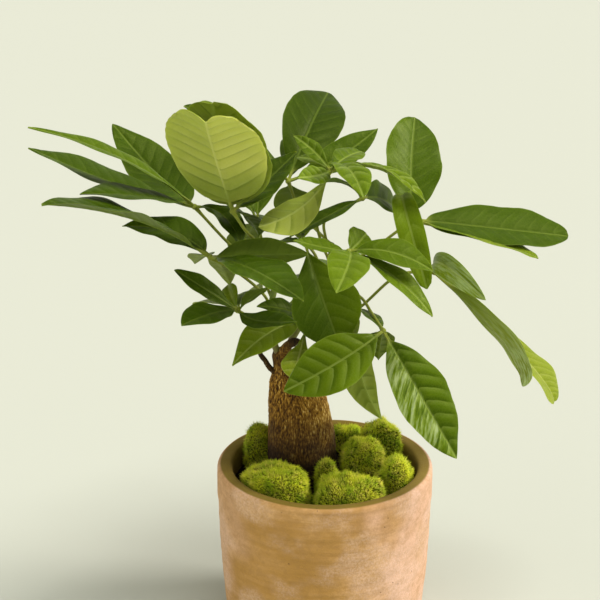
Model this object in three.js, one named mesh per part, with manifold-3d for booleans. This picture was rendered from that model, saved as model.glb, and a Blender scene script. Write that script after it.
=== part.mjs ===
// Potted money tree: a swollen trunk in a thick terracotta pot, palmate leaves on green shoots,
// and moss cushions on the soil.
// Millimetres, +Z up. The origin is the centre of the pot's base. The plant's front faces -Y.
import * as THREE from "three";
import { mergeVertices } from "three/addons/utils/BufferGeometryUtils.js";
import Module from "manifold-3d";

const wasm = await Module();
wasm.setup();

const GAP = 0.35; // clearance between touching pieces
const SMALLEST_DETAIL = 0.05; // slivers that joins leave below this size are tidied away

// Pot
const POT_HEIGHT = 130;
const RIM_RADIUS = 75;
const BASE_RADIUS = 66;
const WALL = 11;
const FLOOR = 12;
const POT_SIDES = 40;
const SOIL_TOP = 115;
// Outlines of the pot: radius, height. The outside runs up from the centre of the base, the lip over
// the rim, and the inside down from the soil's top to the centre of the floor.
const POT_OUTSIDE = [
  [0, 0],
  [BASE_RADIUS, 0],
  [BASE_RADIUS + 2, 4],
  [BASE_RADIUS + 4, 22],
  [RIM_RADIUS - 2.5, 52],
  [RIM_RADIUS - 0.5, 100],
  [RIM_RADIUS, 118],
];
const POT_LIP = [
  [RIM_RADIUS, POT_HEIGHT - 4],
  [RIM_RADIUS - 0.8, POT_HEIGHT - 1],
  [RIM_RADIUS - 3, POT_HEIGHT],
  [RIM_RADIUS - WALL + 3, POT_HEIGHT],
  [RIM_RADIUS - WALL + 0.8, POT_HEIGHT - 1],
  [RIM_RADIUS - WALL, POT_HEIGHT - 4],
];
const POT_INSIDE = [
  [RIM_RADIUS - WALL, SOIL_TOP],
  [BASE_RADIUS - 4, 20],
  [BASE_RADIUS - 8, FLOOR + 1],
  [0, FLOOR],
];

// Leaves
const BLADE = 0.8; // blade thickness
const FOLD = 18; // degrees that each half of a blade rises from the midrib
const FOLD_EASE = 0.12; // share by which each half flattens towards its edge
const HALF_RISE = Math.sin(THREE.MathUtils.degToRad(FOLD)) - FOLD_EASE;
const HALF_REACH = Math.cos(THREE.MathUtils.degToRad(FOLD));
const STALK = 0.08; // share of a leaflet's length that is its short stalk
const BLADE_STEPS = [0, 0.1, 0.28, 0.48, 0.69, 0.88, 1];
const BEND = 0.45; // where along a leaflet its midrib bends most, unless it is said otherwise
const STALK_HALF_WIDTH = 0.9;
const TIP_HALF_WIDTH = 0.3;
const NOTCHED_AT = 0.9; // share of its outline at which a notched leaflet is cut short
const LOBE_GROWTH = 4; // power by which its lobes grow towards the tip
const LOBE_EDGE = -1.6; // how far a lobe reaches at its outer edge, where its middle reaches 1
const PLAIN_COLUMNS = [-1, 0, 1];
const NOTCHED_COLUMNS = [-1, -0.5, 0, 0.5, 1];
const PETIOLE_RADIUS = 1.0;
const PETIOLE_SIDES = 5;
const HUB_RADIUS = 1.9;
const HUB_RINGS = 3;

// Trunk: height, centre x, centre y, radius
const TRUNK_SECTIONS = [
  [80, -14, 14, 16],
  [100, -14, 14, 21],
  [115, -14.5, 14, 23.2],
  [131, -15.7, 14, 23.6],
  [147, -16.4, 14, 23.2],
  [160, -17.5, 14, 22.3],
  [170, -18.8, 14, 21],
  [178, -20.5, 13.5, 18.6],
  [185, -22.8, 13, 15.2],
  [190, -25, 12.3, 11.5],
  [194, -26.8, 11.6, 9],
  [199, -28.7, 10.6, 7],
  [204, -29, 10, 6.8],
  [208, -28.8, 9.5, 6],
];
const TRUNK_SIDES = 16;
const TRUNK_RIBS = 6;
const TRUNK_RIB_DEPTH = 0.025; // share of the radius
const TRUNK_RIB_LEAN = 18; // height in which the ribs wind on by one radian of their wave
const TWIG_PATH = [[-31, 10, 190], [-37, 8, 194.5], [-41, 5, 202], [-45, 3, 208.5]];
const TWIG_RADIUS = 2.1;
const STUB_PATH = [[-29, 8, 201], [-27, 3.5, 211], [-20.5, 0, 216.8], [-15.5, -3, 213.5], [-14.4, -4, 208.5]];
const STUB_RADIUS = 3.2;

// Green shoots that carry the petioles
const STEM_RADIUS = 2.1;
const LEFT_STEM = [[-29, 10, 199], [-34, 6, 212], [-37, 2, 228], [-36, 0, 243], [-34, 2, 255]];
const RIGHT_STEM = [[-29, 10, 199], [-23, 14, 213], [-14, 18, 228], [-5, 20, 246], [2, 22, 262], [5, 26, 278]];

// Moss cushions: centre x, centre y, half width, half depth, height above the soil
const MOSS = [
  [-35, -32, 23, 23, 26],
  [14, -37.5, 22.5, 20, 22],
  [26, 5, 15, 12.5, 30],
  [48.5, -15.5, 11.5, 16, 23],
  [-47, 30, 11, 15, 27],
  [1, -13, 8, 5, 19],
  [41, 32, 15, 12, 30],
  [17, 50.5, 12, 9, 20],
];
const MOSS_LUMP = 0.03; // share of the radius
const MOSS_SIDES = 14;
const MOSS_RINGS = 8;
const MOSS_FULLNESS = 2.7; // 2 is an ellipsoid, more is squarer
const MOSS_LIMIT = 63.3; // radius that the cushions keep to inside the pot

// One leaflet: tip position, width, roll about its own axis in degrees, arch and sideways sweep of the
// midrib, skew (over 1 moves the widest place towards the tip), fullness (low is rounder), how far the
// lobes of a notched tip reach past its midrib, and where along the midrib it bends most.
function leaflet(tip, width, roll, arch, sweep, skew, full, notch = 0, bend = BEND) {
  return { tip, width, roll, arch, sweep, skew, full, notch, bend };
}

// Each palmate leaf: its hub, its petiole's way from there down to the shoot, and its leaflets.
const LEAVES = {
  "leaf_a": {
    "hub": [-85, -5, 311],
    "petiole": [[-67, 8, 286], [-47, 12, 264], [-35, 1, 247]],
    "leaflets": [
      leaflet([-182, -37, 368], 19, -13, 18, -6, 1.05, 0.9),
      leaflet([-144, 52, 355], 39, -15, -18, 5, 0.87, 0.75),
      leaflet([-189, -7, 350], 36, -6, -7, 0, 1.25, 0.9),
      leaflet([-150, -52, 330], 30, -10, 4, 4, 1.24, 0.87),
      leaflet([-55, -20, 288], 28, 0, 18, 0, 1.2, 0.8),
    ],
  },
  "leaf_b": {
    "hub": [-73, -40, 287],
    "petiole": [[-55, -30, 273], [-42, -14, 256], [-36, 0, 241]],
    "leaflets": [
      leaflet([-167, -83, 331], 54, 4, 16, 6, 1.34, 1.04),
      leaflet([-130, -20, 302], 30, -15, 7, 13, 0.89, 0.87),
      leaflet([-15, -105, 279], 39, -1, 12, 5, 1.21, 0.93),
      leaflet([-12.5, -59, 294.5], 25.5, -59, -1, 3, 1.1, 0.73),
      leaflet([-89, 30, 263], 18, 0, 6, 0, 1.1, 1),
      leaflet([-65, 30, 247], 18, 0, 10, 0, 1.1, 1),
    ],
  },
  "leaf_c": {
    "hub": [-57, -30, 249],
    "petiole": [[-47, -16, 238], [-37, 2, 228]],
    "leaflets": [
      leaflet([-96, -37, 278], 16, -36, 5, -4, 1.25, 0.73),
      leaflet([-89, -72, 253], 25, -15, 6, -1, 1.28, 0.73),
      leaflet([-38, -46, 269], 14, -18, 4, -3, 1.17, 0.89),
      leaflet([-19, -76, 257], 19, 23, 1, 13, 1.31, 0.92),
      leaflet([-65, 4, 256], 12, -30, 6, 0, 1.1, 0.9),
      leaflet([-43, 34, 243], 18, -30, 10, 0, 1.1, 0.9),
      leaflet([-90, 15, 239], 12, 0, 6, 0, 1.1, 0.9),
    ],
  },
  "leaf_d": {
    "hub": [-12, -5, 233],
    "petiole": [[-14, 6, 227], [-16, 17, 224]],
    "leaflets": [
      leaflet([-60, -48, 218], 29, -18, 17, 2, 1.03, 1.02),
      leaflet([-21.5, -59, 214], 20.5, -3, -8, 1, 2.4, 0.7),
      leaflet([-45, -22, 249], 18, -30, 8, 0, 1.1, 0.9),
      leaflet([8, -14, 215], 24, 10, 12, 0, 1.1, 1),
    ],
  },
  "leaf_e": {
    "hub": [-58, -50, 319],
    "petiole": [[-50, -52, 307], [-42, -39, 294], [-36, -24, 276], [-34, 2, 253]],
    "leaflets": [
      leaflet([-68.5, -112.5, 384], 61, 0, 19.5, 9.5, 0.76, 0.35, 6.5),
      leaflet([-19, -27, 351], 29, 19, -3, -1, 0.87, 0.84),
      leaflet([-44, 6, 289], 20, 20, 8, 0, 1.1, 0.9),
      leaflet([-74, 20, 316], 24, 0, 8, 0, 1.1, 0.9),
      leaflet([-65.5, -95, 392], 57.5, -6, 15.5, 6, 0.95, 0.42, 0, 0.2),
    ],
  },
  "leaf_f": {
    "hub": [2, -20, 338],
    "petiole": [[-4, 0, 318], [-6, 18, 295], [-2, 17, 279], [3, 23, 267]],
    "leaflets": [
      leaflet([-21, -10, 358], 12, -40, 6, 0, 1.1, 0.9),
      leaflet([-19, 5, 341], 12, -20, 6, 0, 1.1, 0.9),
      leaflet([-18, -61, 342], 15, -42, 1, -4, 1.16, 0.73),
      leaflet([24, 20, 342], 19, 15, 5, -1, 1.13, 0.86),
      leaflet([20, -74, 333], 23, -6, 18, 0, 1.27, 0.72),
      leaflet([58, -60, 327], 25, -13, 20, -3, 1.15, 0.92),
      leaflet([-42.5, -45.5, 308], 27.5, 152, 12, 9, 1.6, 0.8),
    ],
  },
  "leaf_g": {
    "hub": [-25, 35, 319],
    "petiole": [[-17, 48, 295], [-2, 40, 280], [5, 26, 277]],
    "leaflets": [
      leaflet([3, 104, 368.5], 44, 26, 20, -2, 1.14, 0.68),
      leaflet([36, 57, 351], 25, 36, 2, 10, 1.12, 0.9),
      leaflet([-93, 25, 371], 40, -25, 13, 0, 1.48, 0.84),
      leaflet([-17, 75, 267], 34, 0, 8, 0, 1.1, 0.9),
      leaflet([-5, 115, 341], 34, 0, 8, 0, 1.2, 0.7),
    ],
  },
  "leaf_h": {
    "hub": [24, 15, 312],
    "petiole": [[13, 22, 304], [0, 28, 294], [0, 27, 283], [4, 25, 273]],
    "leaflets": [
      leaflet([-24, -14, 293], 15, -11, 5, -6, 0.95, 0.84),
      leaflet([56, 62, 284], 31, 48, 9, -9, 0.93, 0.82),
      leaflet([-4, 8, 324], 14, 0, 10, 0, 1.1, 0.9),
      leaflet([17, 52, 327], 20, 0, 8, 0, 1.1, 0.9),
    ],
  },
  "leaf_i": {
    "hub": [56, 5, 300],
    "petiole": [[44, 8, 289], [26, 14, 274], [2, 22, 262]],
    "leaflets": [
      leaflet([158.3, 1, 289.6], 38.8, 28.5, 0.3, 0, 1.06, 0.48, 0, 0.58),
      leaflet([135.5, -18, 280], 22, 0, 4, 4, 0.75, 0.5, 0, 0.88),
      leaflet([71, 80, 332], 30, 0, 8, 0, 1.1, 0.7),
      leaflet([60, 46, 360.5], 43, 26, 6, -6, 1.06, 0.55),
      leaflet([59.5, -70, 275.5], 17.5, 13, 80, 7, 2.2, 0.42),
    ],
  },
  "leaf_j": {
    "hub": [71, -5, 267],
    "petiole": [[52, 0, 265], [41, 5, 257], [23, 12, 237], [6, 17, 226], [-13, 18, 231]],
    "leaflets": [
      leaflet([95, -71, 269], 16, 59, 35, -13.5, 1.17, 0.6),
      leaflet([131, -17, 191.5], 25, -43, 14, 10, 0.75, 0.69, 0, 0.88),
      leaflet([159, 16, 167], 35, 32, 8, -8, 2.07, 0.63, 0, 0.92),
      leaflet([107, 40, 241], 26, 30, 6, 0, 1.1, 0.8),
    ],
  },
  "leaf_k": {
    "hub": [12, -70, 299],
    "petiole": [[13, -40, 284], [9, -5, 265], [-3, 20, 251]],
    "leaflets": [
      leaflet([23.5, -50, 305], 20.5, 47, 0, 1, 1.25, 0.63),
      leaflet([-21, -66, 305], 16, -15, -1, -1, 1.15, 0.75),
      leaflet([3, -130.5, 292], 26, -13, 12.5, -4.5, 1.15, 0.8),
      leaflet([61, -84, 291], 22, 29, 11, -4, 1.09, 0.82),
      leaflet([61, -91, 265], 20, 12, 13, 2, 1.31, 0.86),
    ],
  },
  "leaf_l": {
    "hub": [35, -50, 242],
    "petiole": [[29, -26, 246], [22.5, -8, 251], [11.5, 6, 251.5], [-6, 20, 243]],
    "leaflets": [
      leaflet([-27, -77, 212], 36, -52, 20, -7, 1.13, 0.82),
      leaflet([81, -75, 166], 39, 33, 12, 6, 0.96, 0.82),
      leaflet([38, -10, 165], 28, -44, 36, -8, 1.04, 0.85),
      leaflet([35, -10, 208], 20, 0, 6, 0, 1.1, 0.9),
      leaflet([22, -8, 243], 14, 17, 3, -1, 1.0, 0.8),
    ],
  },
  "leaf_m": {
    "hub": [-14, -15, 290],
    "petiole": [[-7, 0, 277], [-1, 21, 255]],
    "leaflets": [
      leaflet([9, -38, 225.5], 48, 33, 8, 3, 1.39, 0.9),
      leaflet([-53, 30, 264], 26, 0, 10, 0, 1.1, 0.9),
      leaflet([-31, 50, 294], 22, 0, 8, 0, 1.1, 0.9),
    ],
  },
  "leaf_n": {
    "hub": [-47, 60, 285],
    "petiole": [[-41, 58, 261], [-32, 32, 249], [-34.5, 1.5, 249]],
    "leaflets": [
      leaflet([-88, 85, 329], 32, 0, 10, 0, 1.1, 0.9),
      leaflet([-45, 125, 316], 32, 0, 10, 0, 1.1, 0.9),
      leaflet([-21, 125, 260], 30, 0, 10, 0, 1.1, 0.9),
      leaflet([-62, 100, 244], 28, 0, 10, 0, 1.1, 0.9),
    ],
  },
  "leaf_o": {
    "hub": [-4, 70, 235],
    "petiole": [[-7, 45, 232], [-10, 19, 237]],
    "leaflets": [
      leaflet([-23, 100, 183], 30, 0, 10, 0, 1.1, 0.9),
      leaflet([22, 95, 181], 30, 0, 10, 0, 1.1, 0.9),
      leaflet([10, 135, 234], 30, 0, 10, 0, 1.1, 0.9),
      leaflet([-36, 125, 219], 30, 0, 10, 0, 1.1, 0.9),
    ],
  },
};

// Solids

function solidOf(geometry) {
  const bare = geometry.index ? geometry : geometry.clone();
  bare.deleteAttribute("normal");
  bare.deleteAttribute("uv");
  const merged = mergeVertices(bare, 1e-4);
  const mesh = new wasm.Mesh({
    numProp: 3,
    vertProperties: new Float32Array(merged.attributes.position.array),
    triVerts: new Uint32Array(merged.index.array),
  });
  mesh.merge();
  return new wasm.Manifold(mesh);
}

function geometryOf(solid) {
  const mesh = solid.getMesh();
  const geometry = new THREE.BufferGeometry();
  geometry.setAttribute("position", new THREE.BufferAttribute(mesh.vertProperties.slice(), 3));
  geometry.setIndex(new THREE.BufferAttribute(mesh.triVerts.slice(), 1));
  return geometry;
}

function joined(solids) {
  return solids.reduce((whole, next) => whole.add(next));
}

function rodSolid(points, radius, sides, steps) {
  const section = new THREE.Shape();
  for (let side = 0; side < sides; side += 1) {
    const angle = (side / sides) * Math.PI * 2;
    const x = radius * Math.cos(angle);
    const y = radius * Math.sin(angle);
    if (side === 0) section.moveTo(x, y);
    else section.lineTo(x, y);
  }
  const path = new THREE.CatmullRomCurve3(points.map((point) => new THREE.Vector3(...point)));
  return solidOf(new THREE.ExtrudeGeometry(section, { steps, extrudePath: path, bevelEnabled: false }));
}

function ballSolid(centre, radius) {
  return solidOf(new THREE.SphereGeometry(radius, PETIOLE_SIDES, HUB_RINGS).translate(...centre));
}

function latheSolid(profile, sides) {
  const points = profile.map(([radius, height]) => new THREE.Vector2(radius, height));
  return solidOf(new THREE.LatheGeometry(points, sides).rotateX(Math.PI / 2));
}

// Leaflet blade

function halfWidth(leaf, t) {
  const shown = leaf.notch > 0 ? NOTCHED_AT : 1;
  const along = Math.min(Math.max((t - STALK) / (1 - STALK), 0), 1) * shown;
  const bulge = Math.max(Math.sin(Math.PI * along ** leaf.skew), 0) ** leaf.full;
  const least = t < 0.5 ? STALK_HALF_WIDTH : TIP_HALF_WIDTH;
  return Math.max((leaf.width / 2) * bulge, least);
}

// How far a lobe reaches past the midrib at x, from 0 at the midrib over 1 to its lower outer edge.
function lobeReach(x) {
  return x <= 0.5 ? 2 * x : THREE.MathUtils.lerp(1, LOBE_EDGE, 2 * x - 1);
}

// The midrib's place, direction, upward and sideways directions at t, from the hub to the tip.
function midribFrame(hub, leaf) {
  const base = new THREE.Vector3(...hub);
  const tip = new THREE.Vector3(...leaf.tip);
  const axis = tip.clone().sub(base).normalize();
  const up = new THREE.Vector3(0, 0, 1).addScaledVector(axis, -axis.z).normalize();
  up.applyAxisAngle(axis, THREE.MathUtils.degToRad(leaf.roll));
  const side = axis.clone().cross(up);
  const control = base.clone().lerp(tip, leaf.bend);
  control.addScaledVector(up, leaf.arch).addScaledVector(side, leaf.sweep);
  const curve = new THREE.QuadraticBezierCurve3(base, control, tip);
  return (t) => {
    const along = curve.getTangent(t);
    const rise = up.clone().addScaledVector(along, -along.dot(up)).normalize();
    return { place: curve.getPoint(t), along, rise, across: along.clone().cross(rise) };
  };
}

// A thin folded plate: a half on each side of the midrib, bent across at each of its steps.
function leafletSolid(hub, leaf) {
  const frameAt = midribFrame(hub, leaf);
  const columns = leaf.notch > 0 ? NOTCHED_COLUMNS : PLAIN_COLUMNS;
  const positions = [];
  for (const t of BLADE_STEPS) {
    const { place, along, rise, across } = frameAt(t);
    const half = halfWidth(leaf, t);
    const lobe = leaf.notch * t ** LOBE_GROWTH;
    for (const face of [0.5, -0.5]) {
      for (const x of columns) {
        const point = place.clone().addScaledVector(across, half * x * HALF_REACH);
        point.addScaledVector(rise, half * Math.abs(x) * HALF_RISE + face * BLADE);
        point.addScaledVector(along, lobe * lobeReach(Math.abs(x)));
        positions.push(point.x, point.y, point.z);
      }
    }
  }
  const triangles = [];
  const quad = (a, b, c, d) => triangles.push(a, b, c, a, c, d);
  const width = columns.length;
  const ring = 2 * width;
  for (let step = 0; step < BLADE_STEPS.length - 1; step += 1) {
    const here = step * ring;
    const next = here + ring;
    for (let column = 0; column < width - 1; column += 1) {
      const above = here + column;
      const below = above + width;
      quad(above, above + 1, above + 1 + ring, above + ring);
      quad(below + 1, below, below + ring, below + 1 + ring);
    }
    quad(here + width, here, next, next + width);
    quad(here + width - 1, here + ring - 1, next + ring - 1, next + width - 1);
  }
  const last = (BLADE_STEPS.length - 1) * ring;
  for (let column = 0; column < width - 1; column += 1) {
    quad(column + 1, column, column + width, column + 1 + width);
    quad(last + column, last + column + 1, last + column + 1 + width, last + column + width);
  }
  const geometry = new THREE.BufferGeometry();
  geometry.setAttribute("position", new THREE.Float32BufferAttribute(positions, 3));
  geometry.setIndex(triangles);
  return solidOf(geometry);
}

// Pieces

function potSolid() {
  return latheSolid([...POT_OUTSIDE, ...POT_LIP, ...POT_INSIDE], POT_SIDES);
}

function trunkLathe(grow) {
  const first = TRUNK_SECTIONS[0];
  const last = TRUNK_SECTIONS[TRUNK_SECTIONS.length - 1];
  const profile = [new THREE.Vector2(0, first[0] - grow)];
  for (const [height, , , radius] of TRUNK_SECTIONS) {
    const z = height === first[0] ? height - grow : height;
    profile.push(new THREE.Vector2(radius + grow, z));
  }
  profile.push(new THREE.Vector2(0, last[0]));
  const geometry = new THREE.LatheGeometry(profile, TRUNK_SIDES).rotateX(Math.PI / 2);
  const position = geometry.attributes.position;
  for (let i = 0; i < position.count; i += 1) {
    const z = position.getZ(i);
    const [x, y] = trunkCentre(z);
    const angle = Math.atan2(position.getY(i), position.getX(i));
    const rib = 1 + TRUNK_RIB_DEPTH * Math.cos(TRUNK_RIBS * angle + z / TRUNK_RIB_LEAN);
    position.setXY(i, x + position.getX(i) * rib, y + position.getY(i) * rib);
  }
  return solidOf(geometry);
}

function trunkCentre(z) {
  const upper = TRUNK_SECTIONS.findIndex(([height]) => height >= z);
  if (upper <= 0) return TRUNK_SECTIONS[0].slice(1, 3);
  const [z1, x1, y1] = TRUNK_SECTIONS[upper];
  const [z0, x0, y0] = TRUNK_SECTIONS[upper - 1];
  const share = (z - z0) / (z1 - z0);
  return [x0 + (x1 - x0) * share, y0 + (y1 - y0) * share];
}

// The same path with both of its ends moved outwards.
function lengthened(points, by) {
  const moved = points.map((point) => new THREE.Vector3(...point));
  const [first, second] = moved;
  const [beforeLast, last] = moved.slice(-2);
  first.addScaledVector(first.clone().sub(second).normalize(), by);
  last.addScaledVector(last.clone().sub(beforeLast).normalize(), by);
  return moved.map((point) => point.toArray());
}

function stemsSolid(grow) {
  return joined([
    rodSolid(lengthened(LEFT_STEM, grow), STEM_RADIUS + grow, 8, 10),
    rodSolid(lengthened(RIGHT_STEM, grow), STEM_RADIUS + grow, 8, 12),
  ]);
}

function trunkSolid() {
  const wood = joined([
    trunkLathe(0),
    rodSolid(TWIG_PATH, TWIG_RADIUS, 7, 5),
    rodSolid(STUB_PATH, STUB_RADIUS, 8, 7),
  ]);
  return wood.subtract(stemsSolid(GAP)).simplify(SMALLEST_DETAIL);
}

// The soil fills the pot's inside, a gap away from its wall and floor.
function soilSolid() {
  const side = POT_INSIDE.map(([radius, height]) => [
    Math.max(radius - GAP, 0),
    Math.min(height + GAP, SOIL_TOP),
  ]);
  const plug = latheSolid([...side.reverse(), [0, SOIL_TOP]], POT_SIDES);
  return plug.subtract(trunkLathe(GAP));
}

function leafSolid({ hub, petiole, leaflets }) {
  const blades = leaflets.map((leaf) => leafletSolid(hub, leaf));
  const stalk = rodSolid([hub, ...petiole], PETIOLE_RADIUS, PETIOLE_SIDES, 2 * petiole.length);
  const whole = joined([stalk, ballSolid(hub, HUB_RADIUS), ...blades]).subtract(stemsSolid(GAP));
  return whole.simplify(SMALLEST_DETAIL);
}

// A full, lumpy cushion, kept inside the pot's wall and clear of the trunk.
function mossSolid([x, y, halfAcross, halfDepth, height]) {
  const cushion = new THREE.SphereGeometry(1, MOSS_SIDES, MOSS_RINGS).rotateX(Math.PI / 2);
  const position = cushion.attributes.position;
  const foot = SOIL_TOP + GAP;
  const top = foot + 2 * height;
  for (let i = 0; i < position.count; i += 1) {
    const angle = Math.atan2(position.getY(i), position.getX(i));
    const lump = 1 + MOSS_LUMP * Math.sin(3 * angle + x) + MOSS_LUMP * Math.cos(5 * angle + y);
    const parts = [position.getX(i), position.getY(i), position.getZ(i)];
    const power = parts.reduce((sum, part) => sum + Math.abs(part) ** MOSS_FULLNESS, 0);
    const full = power ** (-1 / MOSS_FULLNESS);
    position.setXYZ(
      i,
      x + parts[0] * full * halfAcross * lump,
      y + parts[1] * full * halfDepth * lump,
      foot + parts[2] * full * height,
    );
  }
  const room = latheSolid([[0, foot], [MOSS_LIMIT, foot], [MOSS_LIMIT, top], [0, top]], POT_SIDES);
  return solidOf(cushion).intersect(room).subtract(trunkLathe(GAP));
}

// The plant

const MATERIALS = {
  terracotta: { color: 0xb98f5f, roughness: 0.9, metalness: 0 },
  soil: { color: 0x2a1d12, roughness: 1, metalness: 0 },
  bark: { color: 0x6b4a27, roughness: 0.95, metalness: 0 },
  shoot: { color: 0x6f8a2c, roughness: 0.6, metalness: 0 },
  leaf: { color: 0x3c6a1e, roughness: 0.45, metalness: 0 },
  moss: { color: 0x8ba51f, roughness: 1, metalness: 0 },
};

function piece(name, solid, look) {
  const mesh = new THREE.Mesh(geometryOf(solid), new THREE.MeshStandardMaterial(MATERIALS[look]));
  mesh.name = name;
  return mesh;
}

const plant = new THREE.Group();
plant.add(piece("pot", potSolid(), "terracotta"));
plant.add(piece("soil", soilSolid(), "soil"));
plant.add(piece("trunk", trunkSolid(), "bark"));
plant.add(piece("stems", stemsSolid(0), "shoot"));
for (const [name, leaf] of Object.entries(LEAVES)) {
  plant.add(piece(name, leafSolid(leaf), "leaf"));
}
MOSS.forEach((cushion, index) => {
  plant.add(piece(`moss_${index + 1}`, mossSolid(cushion), "moss"));
});

export default plant;
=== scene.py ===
"""The looks of the potted money tree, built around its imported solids.

Sizes are millimetres until a mesh is made. The frame is the solids' own: +Z up, origin at the centre
of the pot's base, the plant's front towards -Y.
"""

import functools
import itertools
import math

import bpy
import numpy as np
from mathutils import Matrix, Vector


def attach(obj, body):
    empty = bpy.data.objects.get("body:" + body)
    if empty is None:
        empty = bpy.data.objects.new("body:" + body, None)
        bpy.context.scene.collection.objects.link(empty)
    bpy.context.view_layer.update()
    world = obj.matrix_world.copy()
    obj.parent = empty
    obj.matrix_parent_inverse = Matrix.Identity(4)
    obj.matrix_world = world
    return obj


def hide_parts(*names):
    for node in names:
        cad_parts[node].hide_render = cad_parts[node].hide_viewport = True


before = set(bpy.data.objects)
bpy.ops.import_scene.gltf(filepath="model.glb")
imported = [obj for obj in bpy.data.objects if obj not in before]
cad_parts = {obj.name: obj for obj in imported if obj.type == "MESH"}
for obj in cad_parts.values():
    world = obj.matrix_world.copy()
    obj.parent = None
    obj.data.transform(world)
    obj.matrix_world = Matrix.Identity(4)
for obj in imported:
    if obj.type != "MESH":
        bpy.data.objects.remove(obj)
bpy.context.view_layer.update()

MM = 0.001

# Camera
CAMERA_PLACE = (-17.1, -790.4, 498.6)
CAMERA_TILT = 17.7  # degrees below the horizon
CAMERA_LENS = 75
VIEW_REACH = 100  # metres that the camera sees
FLOOR_HALF = 40  # metres

# Pot
POT_HEIGHT = 130
RIM_RADIUS = 75
BASE_RADIUS = 66
WALL = 11
FLOOR = 12
SOIL_TOP = 115
SOIL_GAP = 0.5
POT_SEGMENTS = 288
POT_STEP = 1.8
SOIL_SEGMENTS = 200
SOIL_STEP = 1.6
THROWING_RING = 0.16  # height of the faint rings that the wheel leaves

# Leaves
FOLD = math.radians(18)
FOLD_EASE = 0.12
STALK = 0.08
BEND = 0.45
STALK_HALF_WIDTH = 0.9
TIP_HALF_WIDTH = 0.3
NOTCHED_AT = 0.9
LOBE_GROWTH = 4
LOBE_EDGE = -1.6
LOBE_PEAK = 0.5  # where across each half of a notched blade its lobe reaches furthest
LOBED_COLUMNS = 30
VEIN_SPACING = 9.5
VEIN_CURVE = 0.012
QUILT = 0.75  # how far the blade stands up between its side veins
SCALLOP = 0.005  # share of the half width by which the margin waves between the side veins
BLADE_HALF = 0.22
MIDRIB_RISE = 0.5
STALK_RISE = 0.55
GRID_ALONG = 1.35
GRID_ACROSS = 1.7
PETIOLE_RADIUS = 1.0
PETIOLE_SIDES = 12
HUB_RADIUS = 2.0
HUB_SIDES = 14
HUB_RINGS = 9

# Trunk: height, centre x, centre y, radius
TRUNK_SECTIONS = [
    [80, -14, 14, 16],
    [100, -14, 14, 21],
    [115, -14.5, 14, 23.2],
    [131, -15.7, 14, 23.6],
    [147, -16.4, 14, 23.2],
    [160, -17.5, 14, 22.3],
    [170, -18.8, 14, 21],
    [178, -20.5, 13.5, 18.6],
    [185, -22.8, 13, 15.2],
    [190, -25, 12.3, 11.5],
    [194, -26.8, 11.6, 9],
    [199, -28.7, 10.6, 7],
    [204, -29, 10, 6.8],
    [208, -28.8, 9.5, 6],
]
TRUNK_SEGMENTS = 270
TRUNK_RINGS = 170
TRUNK_RIBS = 6
TRUNK_RIB_DEPTH = 0.025
TRUNK_RIB_LEAN = 18  # millimetres of height in which the ribs turn by one radian
BARK_DEPTH = 1.3
TWIG_PATH = [[-31, 10, 190], [-37, 8, 194.5], [-41, 5, 202], [-45, 3, 208.5]]
STUB_PATH = [[-29, 8, 201], [-27, 3.5, 211], [-20.5, 0, 216.8], [-15.5, -3, 213.5], [-14.4, -4, 208.5]]
# Shares of the way along each path, and the radius at each share
TWIG_RADII = ([0, 0.3, 0.9, 1], [2.9, 2.0, 1.7, 1.1])
STUB_RADII = ([0, 0.35, 0.8, 0.95, 1], [3.6, 3.1, 2.8, 2.0, 0.9])
BRANCH_STEPS = 46
BRANCH_SIDES = 26

# Green shoots that carry the petioles
STEM_RADIUS = 2.1
STEM_SIDES = 20
LEFT_STEM = [[-29, 10, 199], [-34, 6, 212], [-37, 2, 228], [-36, 0, 243], [-34, 2, 255]]
RIGHT_STEM = [[-29, 10, 199], [-23, 14, 213], [-14, 18, 228], [-5, 20, 246], [2, 22, 262], [5, 26, 278]]

# Moss cushions: centre x, centre y, half width, half depth, height above the soil
MOSS = [
    [-35, -32, 23, 23, 26],
    [14, -37.5, 22.5, 20, 22],
    [26, 5, 15, 12.5, 30],
    [48.5, -15.5, 11.5, 16, 23],
    [-47, 30, 11, 15, 27],
    [1, -13, 8, 5, 19],
    [41, 32, 15, 12, 30],
    [17, 50.5, 12, 9, 20],
]
MOSS_LUMP = 0.03
MOSS_FULLNESS = 2.7
MOSS_LIMIT = 63.3
MOUND_ROWS = 30
MOUND_COLUMNS = 84
TUFT_AREA = 2.2  # square millimetres of cushion for each tuft
TUFT_BLADES = 8
TUFT_LENGTH = 4.2
TUFT_RADIUS = 0.34


# One leaflet: tip position, width, roll about its own axis in degrees, arch and sideways sweep of the
# midrib, skew (over 1 moves the widest place towards the tip), fullness (low is rounder), how far the
# lobes of a notched tip reach past its midrib, and where along the midrib it bends most.
def leaflet(tip, width, roll=0, arch=10, sweep=0, skew=1.1, full=0.9, notch=0, bend=BEND):
    return {
        "tip": tip, "width": width, "roll": roll, "arch": arch, "sweep": sweep, "skew": skew, "full": full,
        "notch": notch, "bend": bend,
    }


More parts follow.
